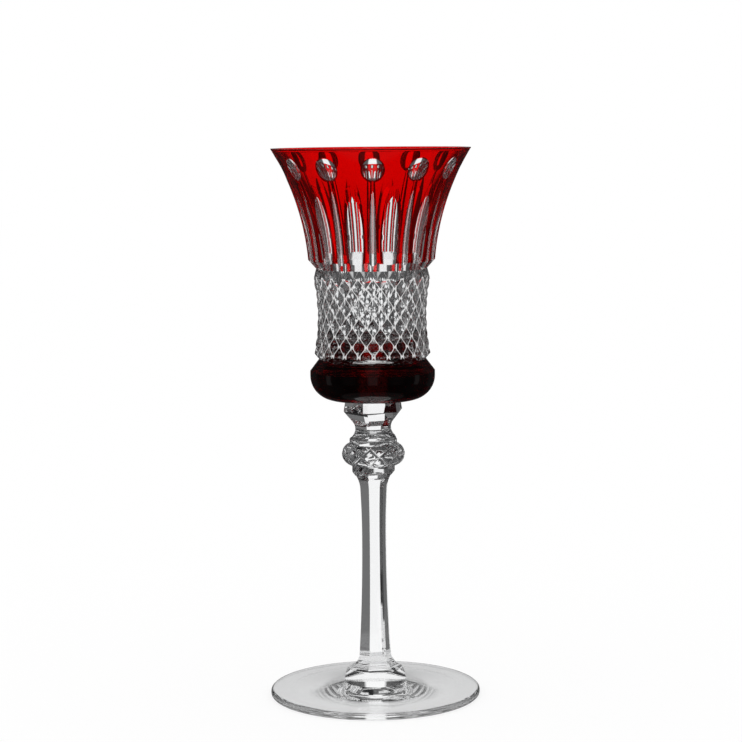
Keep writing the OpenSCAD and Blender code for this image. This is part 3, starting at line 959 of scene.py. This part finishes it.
class CORDIAL_OT_cup_casing(GlassOperator, bpy.types.Operator):
    """Turn the ruby skin of the bowl's round base"""

    bl_idname = "cordial.cup_casing"
    bl_label = "Cup casing"

    def execute(self, context):
        s, capital = context.scene.glass_bowl, context.scene.glass_capital
        low, neck, sides = foot_of("cup_casing"), capital.neck_width / 2, context.scene.glass_stem.sides
        near_neck = point(neck * 1.1, low)
        outline = capped(near_neck, *base_side(s, 0), *reversed(base_side(s, s.casing)))
        casing = turned("cup_casing_ruby", outline, cup_ruby)
        angles = [capital.turn + i * math.tau / sides for i in range(sides)]
        ways = [Vector((math.cos(a), math.sin(a), 0)) for a in angles]
        bpy.ops.object.mode_set(mode="EDIT")
        for way in ways:
            bpy.ops.mesh.select_all(action="SELECT")
            bpy.ops.mesh.bisect(plane_co=way * neck, plane_no=way, threshold=MERGE / 10)
        bpy.ops.object.mode_set(mode="OBJECT")

        def on_capital(c, n):
            return at_level(low)(c, n) and all(way.dot(c) < neck for way in ways)

        join_faces(casing, on_capital)
        join_faces(casing, lambda c, n: n.xy.dot(c.xy) < 0 or n.z > FLAT)
        finish(casing, "cup_casing", slot="ruby")
        return {"FINISHED"}


def flare_arc(s):
    """Foot and rim of the flare, and the radius and middle of the arc between them."""
    foot = point(s.foot_width / 2, foot_of("cup_casing") + s.foot_up)
    rim = point(across("flare_casing") / 2, head_of("flare_casing"))
    return (foot, rim, *arc_circle(rim, foot, s.dip))


def flare_side(s, level, inset):
    """The point of the flare's side at a level, drawn in by inset."""
    _, _, radius, middle = flare_arc(s)
    return point(middle.x - math.sqrt((radius + inset) ** 2 - (level - middle.y) ** 2), level)


def flare_foot(bowl, s, inset):
    """Where the bevel under the flare meets the flare's side, drawn in by inset."""
    foot, _, radius, middle = flare_arc(s)
    groove = point(bowl.top_groove_width / 2, foot_of("cup_casing") + bowl.top_groove_up)
    way, back = foot - groove, groove - middle
    half = way.dot(back)
    square = half**2 - way.length_squared * (back.length_squared - (radius + inset) ** 2)
    return groove - way * (half + math.sqrt(square)) / way.length_squared


def wheel(s, level, radius, edge, depth):
    """The near part of a cutting wheel sunk into the flare at a level."""
    _, _, arc_radius, middle = flare_arc(s)
    spot = flare_side(s, level, 0)
    out = (middle - spot) / arc_radius
    hub = spot + out * (radius - depth)
    bpy.ops.object.select_all(action="DESELECT")
    bpy.ops.mesh.primitive_circle_add(
        vertices=EDGE_STEPS, radius=edge, location=(radius - edge, 0, 0), rotation=(math.pi / 2, 0, 0)
    )
    bpy.ops.object.transform_apply(location=True, rotation=True)
    bpy.ops.object.mode_set(mode="EDIT")
    bpy.ops.mesh.select_all(action="SELECT")
    bpy.ops.mesh.spin(
        steps=WHEEL_STEPS, angle=WHEEL_SWEEP, center=(0, 0, 0), axis=(0, 0, 1), use_auto_merge=False
    )
    bpy.ops.mesh.select_all(action="SELECT")
    bpy.ops.mesh.fill_holes(sides=0)
    bpy.ops.object.mode_set(mode="OBJECT")
    tool = bpy.context.object
    face_outwards(tool)
    aim = math.atan2(-out.y, -out.x) + WHEEL_SWEEP / 2
    tool.matrix_world = (
        Matrix.Translation((hub.x, 0, hub.y))
        @ Matrix.Rotation(math.pi / 2, 4, "X")
        @ Matrix.Rotation(aim, 4, "Z")
    )
    return tool


def around(tool, turn, number, look):
    """Copies a tool at equal steps round the upright axis and joins the copies into one."""
    tool.data.transform(tool.matrix_world)
    tool.matrix_world = Matrix.Identity(4)
    made_of(tool, look())
    bpy.ops.object.select_all(action="DESELECT")
    for i in range(number):
        copy = tool.copy()
        copy.data = tool.data.copy()
        copy.data.transform(Matrix.Rotation(turn + i * math.tau / number, 4, "Z"))
        bpy.context.scene.collection.objects.link(copy)
        copy.select_set(True)
    bpy.data.objects.remove(tool)
    bpy.context.view_layer.objects.active = copy
    bpy.ops.object.join()
    return copy


def thumbprint(s):
    """The ball that cuts a thumbprint."""
    _, rim, arc_radius, middle = flare_arc(s)
    ball = ((s.thumb_width / 2) ** 2 + s.thumb_depth**2) / (2 * s.thumb_depth)
    spot = flare_side(s, rim.y - s.thumb_down, 0)
    hub = spot + (middle - spot) / arc_radius * (ball - s.thumb_depth)
    bpy.ops.object.select_all(action="DESELECT")
    bpy.ops.mesh.primitive_uv_sphere_add(
        segments=BALL_STEPS,
        ring_count=BALL_RINGS,
        radius=ball,
        location=(hub.x, 0, hub.y),
        rotation=(0, math.pi / 2, 0),
    )
    return bpy.context.object


def cut_flare(solid, look):
    """Cuts the thumbprints, the flutes and the lancets into a piece of the flare."""
    s = bpy.context.scene.glass_flare
    foot = flare_arc(s)[0]
    flute = wheel(s, foot.y - s.flute_down, s.flute_wheel, s.flute_edge, s.flute_depth)
    lancet = wheel(s, foot.y + s.lancet_up, s.lancet_wheel, s.lancet_edge, s.lancet_depth)
    between = s.turn + math.pi / s.cuts
    for tool, start in ((thumbprint(s), s.turn), (flute, s.turn), (lancet, between)):
        combine(solid, around(tool, start, s.cuts, look), "DIFFERENCE")


class CORDIAL_OT_flare_casing(GlassOperator, bpy.types.Operator):
    """Turn the ruby skin of the flare and cut its windows"""

    bl_idname = "cordial.flare_casing"
    bl_label = "Flare casing"

    def execute(self, context):
        bowl, s = context.scene.glass_bowl, context.scene.glass_flare
        foot, rim, radius, middle = flare_arc(s)
        outer = [flare_side(s, z, 0) for z in evenly(rim.y, foot.y, LONG_ARC)]
        edge = corner(outer[0] - point(s.rim_round, s.rim_round), s.rim_round, 90, 30, 2)
        inner_foot = flare_foot(bowl, s, bowl.casing)
        inner = [flare_side(s, z, bowl.casing) for z in evenly(inner_foot.y, rim.y, LONG_ARC)]
        outline = [*edge, *(p for p in outer if p.y < rim.y - s.rim_round), *inner]
        casing = turned("flare_casing_ruby", outline, flare_ruby)

        def lining(c, n):
            return (point(c.xy.length, c.z) - middle).length > radius + bowl.casing - 2 * SAME

        join_faces(casing, lining)
        cut_flare(casing, flare_ruby)
        finish(casing, "flare_casing", slot="ruby")
        return {"FINISHED"}


class CORDIAL_OT_bowl(GlassOperator, bpy.types.Operator):
    """Cut the bowl: clear crystal under the two casings, with a band of diamonds between them"""

    bl_idname = "cordial.bowl"
    bl_label = "Bowl"

    def execute(self, context):
        s, flare = context.scene.glass_bowl, context.scene.glass_flare
        low, radius = foot_of("cup_casing"), across("cup_casing") / 2
        foot, rim, arc_radius, arc_middle = flare_arc(flare)
        low_groove = low_groove_of(s)
        low_edge = point(s.band_width / 2, low + s.band_up)
        high_edge = point(s.band_width / 2, low + s.band_up + s.band_height)
        top_groove = point(s.top_groove_width / 2, low + s.top_groove_up)
        inner_foot = flare_foot(s, flare, s.casing)
        band_radius, band_middle = arc_circle(high_edge, low_edge, s.band_dip)

        def band_side(z, spare=0.0):
            return point(
                band_middle.x - math.sqrt((band_radius - spare) ** 2 - (z - band_middle.y) ** 2), z
            )

        lip = low_edge.x + s.lip
        lip_low, lip_high = along(low_groove, low_edge, lip), along(top_groove, high_edge, lip)
        band = [band_side(z, SPARE) for z in evenly(lip_low.y, lip_high.y, 40)[1:-1]]
        wall = point(rim.x - s.rim_wall, rim.y)
        throat = point(s.throat_width / 2, foot.y)
        inside = dip(throat, wall, s.inner_dip, LONG_ARC)
        floor, bore = low + s.floor, s.bore_width / 2
        outline = capped(
            *base_side(s, s.casing),
            low_groove,
            lip_low,
            *band,
            lip_high,
            top_groove,
            *(flare_side(flare, z, s.casing) for z in evenly(inner_foot.y, rim.y, 70)),
            *corner(wall + point(s.rim_round, -s.rim_round), s.rim_round, 90, RIM_END, 8),
            *(p for p in reversed(inside) if p.y < rim.y - s.rim_round),
            *reversed(dip(point(bore, floor + s.throat_up), throat, s.throat_dip, 20)),
            *reversed(corner(point(bore - s.bore_round, floor + s.bore_round), s.bore_round, -90, 0)),
        )
        bowl = turned("bowl_crystal", outline)

        def under_ruby(c, n):
            spot, outer = point(c.xy.length, c.z), n.xy.dot(c.xy) > 0
            if inner_foot.y < spot.y < rim.y - SAME and outer:
                return abs((spot - arc_middle).length - arc_radius - s.casing) < 2 * SAME
            return spot.y < low_groove.y + SAME and (outer or n.z < -FLAT)

        join_faces(bowl, under_ruby)
        half = s.diamond_height / 2
        rows = math.ceil(s.band_height / half) + 2
        start = low_edge.y - half * s.first_row
        wide = math.tau * (s.band_width / 2 - s.band_dip) / s.diamonds
        apart = wide * s.diamond_height / math.hypot(wide, s.diamond_height)
        bottom = s.groove_line / 2 / apart
        shares = lines_across(s.groove_side, bottom, 1, 1)

        def at(w):
            spot = band_side(start + w * half)
            return spot.x, spot.y, s.groove_depth

        turn = flare.turn + math.pi / s.diamonds
        cut = v_groove(s.groove_side, bottom)
        ring = crossed_cuts("cut", s.diamonds, rows, shares, radius, at, turn, cut, ground_crystal())
        combine(bowl, ring, "DIFFERENCE")
        cut_flare(bowl, clear_crystal)
        finish(bowl, "bowl")
        return {"FINISHED"}


class CORDIAL_OT_stage(GlassOperator, bpy.types.Operator):
    """Set the floor, the light round the glass and the camera"""

    bl_idname = "cordial.stage"
    bl_label = "Stage"

    def execute(self, context):
        bpy.ops.object.select_all(action="DESELECT")
        bpy.ops.mesh.primitive_circle_add(vertices=ROUND, radius=FLOOR_RADIUS, fill_type="NGON")
        floor = context.object
        floor.name = "floor"
        floor.data.materials.append(floor_white())

        world = context.scene.world or bpy.data.worlds.new("studio")
        context.scene.world = world
        world.use_nodes = True
        studio(Nodes(world.node_tree))

        bpy.ops.object.camera_add(location=CAMERA_PLACE)
        camera = context.object
        camera.name = "camera"
        camera.data.lens = CAMERA_LENS
        aim = Matrix.Rotation(CAMERA_TILT, 4, "X") @ Matrix.Rotation(CAMERA_ROLL, 4, "Z")
        camera.matrix_world = Matrix.Translation(CAMERA_PLACE) @ aim
        context.scene.camera = camera

        context.scene.view_settings.view_transform = "Standard"
        cycles = context.scene.cycles
        cycles.max_bounces = 40
        cycles.transmission_bounces = 36
        cycles.glossy_bounces = 24
        cycles.transparent_max_bounces = 64
        return {"FINISHED"}


PIECES = (
    CORDIAL_OT_foot,
    CORDIAL_OT_foot_button,
    CORDIAL_OT_stem,
    CORDIAL_OT_stem_collar,
    CORDIAL_OT_knop,
    CORDIAL_OT_knop_ring,
    CORDIAL_OT_capital,
    CORDIAL_OT_cup_casing,
    CORDIAL_OT_bowl,
    CORDIAL_OT_flare_casing,
    CORDIAL_OT_stage,
)


class CORDIAL_PT_panel(bpy.types.Panel):
    """The glass's pieces and sizes"""

    bl_label = "Cordial Glass"
    bl_idname = "CORDIAL_PT_panel"
    bl_space_type = "VIEW_3D"
    bl_region_type = "UI"
    bl_category = "Cordial Glass"

    def draw(self, context):
        for name, group in GROUPS.items():
            box = self.layout.box()
            box.label(text=group.__doc__)
            for key in group.__annotations__:
                box.prop(getattr(context.scene, name), key)
        for piece in PIECES:
            self.layout.operator(piece.bl_idname)


def register():
    for name, group in GROUPS.items():
        bpy.utils.register_class(group)
        setattr(bpy.types.Scene, name, bpy.props.PointerProperty(type=group))
    for piece in (*PIECES, CORDIAL_PT_panel):
        bpy.utils.register_class(piece)


def unregister():
    for piece in (CORDIAL_PT_panel, *reversed(PIECES)):
        bpy.utils.unregister_class(piece)
    for name, group in GROUPS.items():
        delattr(bpy.types.Scene, name)
        bpy.utils.unregister_class(group)


def main():
    register()
    for piece in PIECES:
        getattr(bpy.ops.cordial, piece.bl_idname.split(".")[1])()
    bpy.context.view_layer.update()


if __name__ == "__main__":
    main()
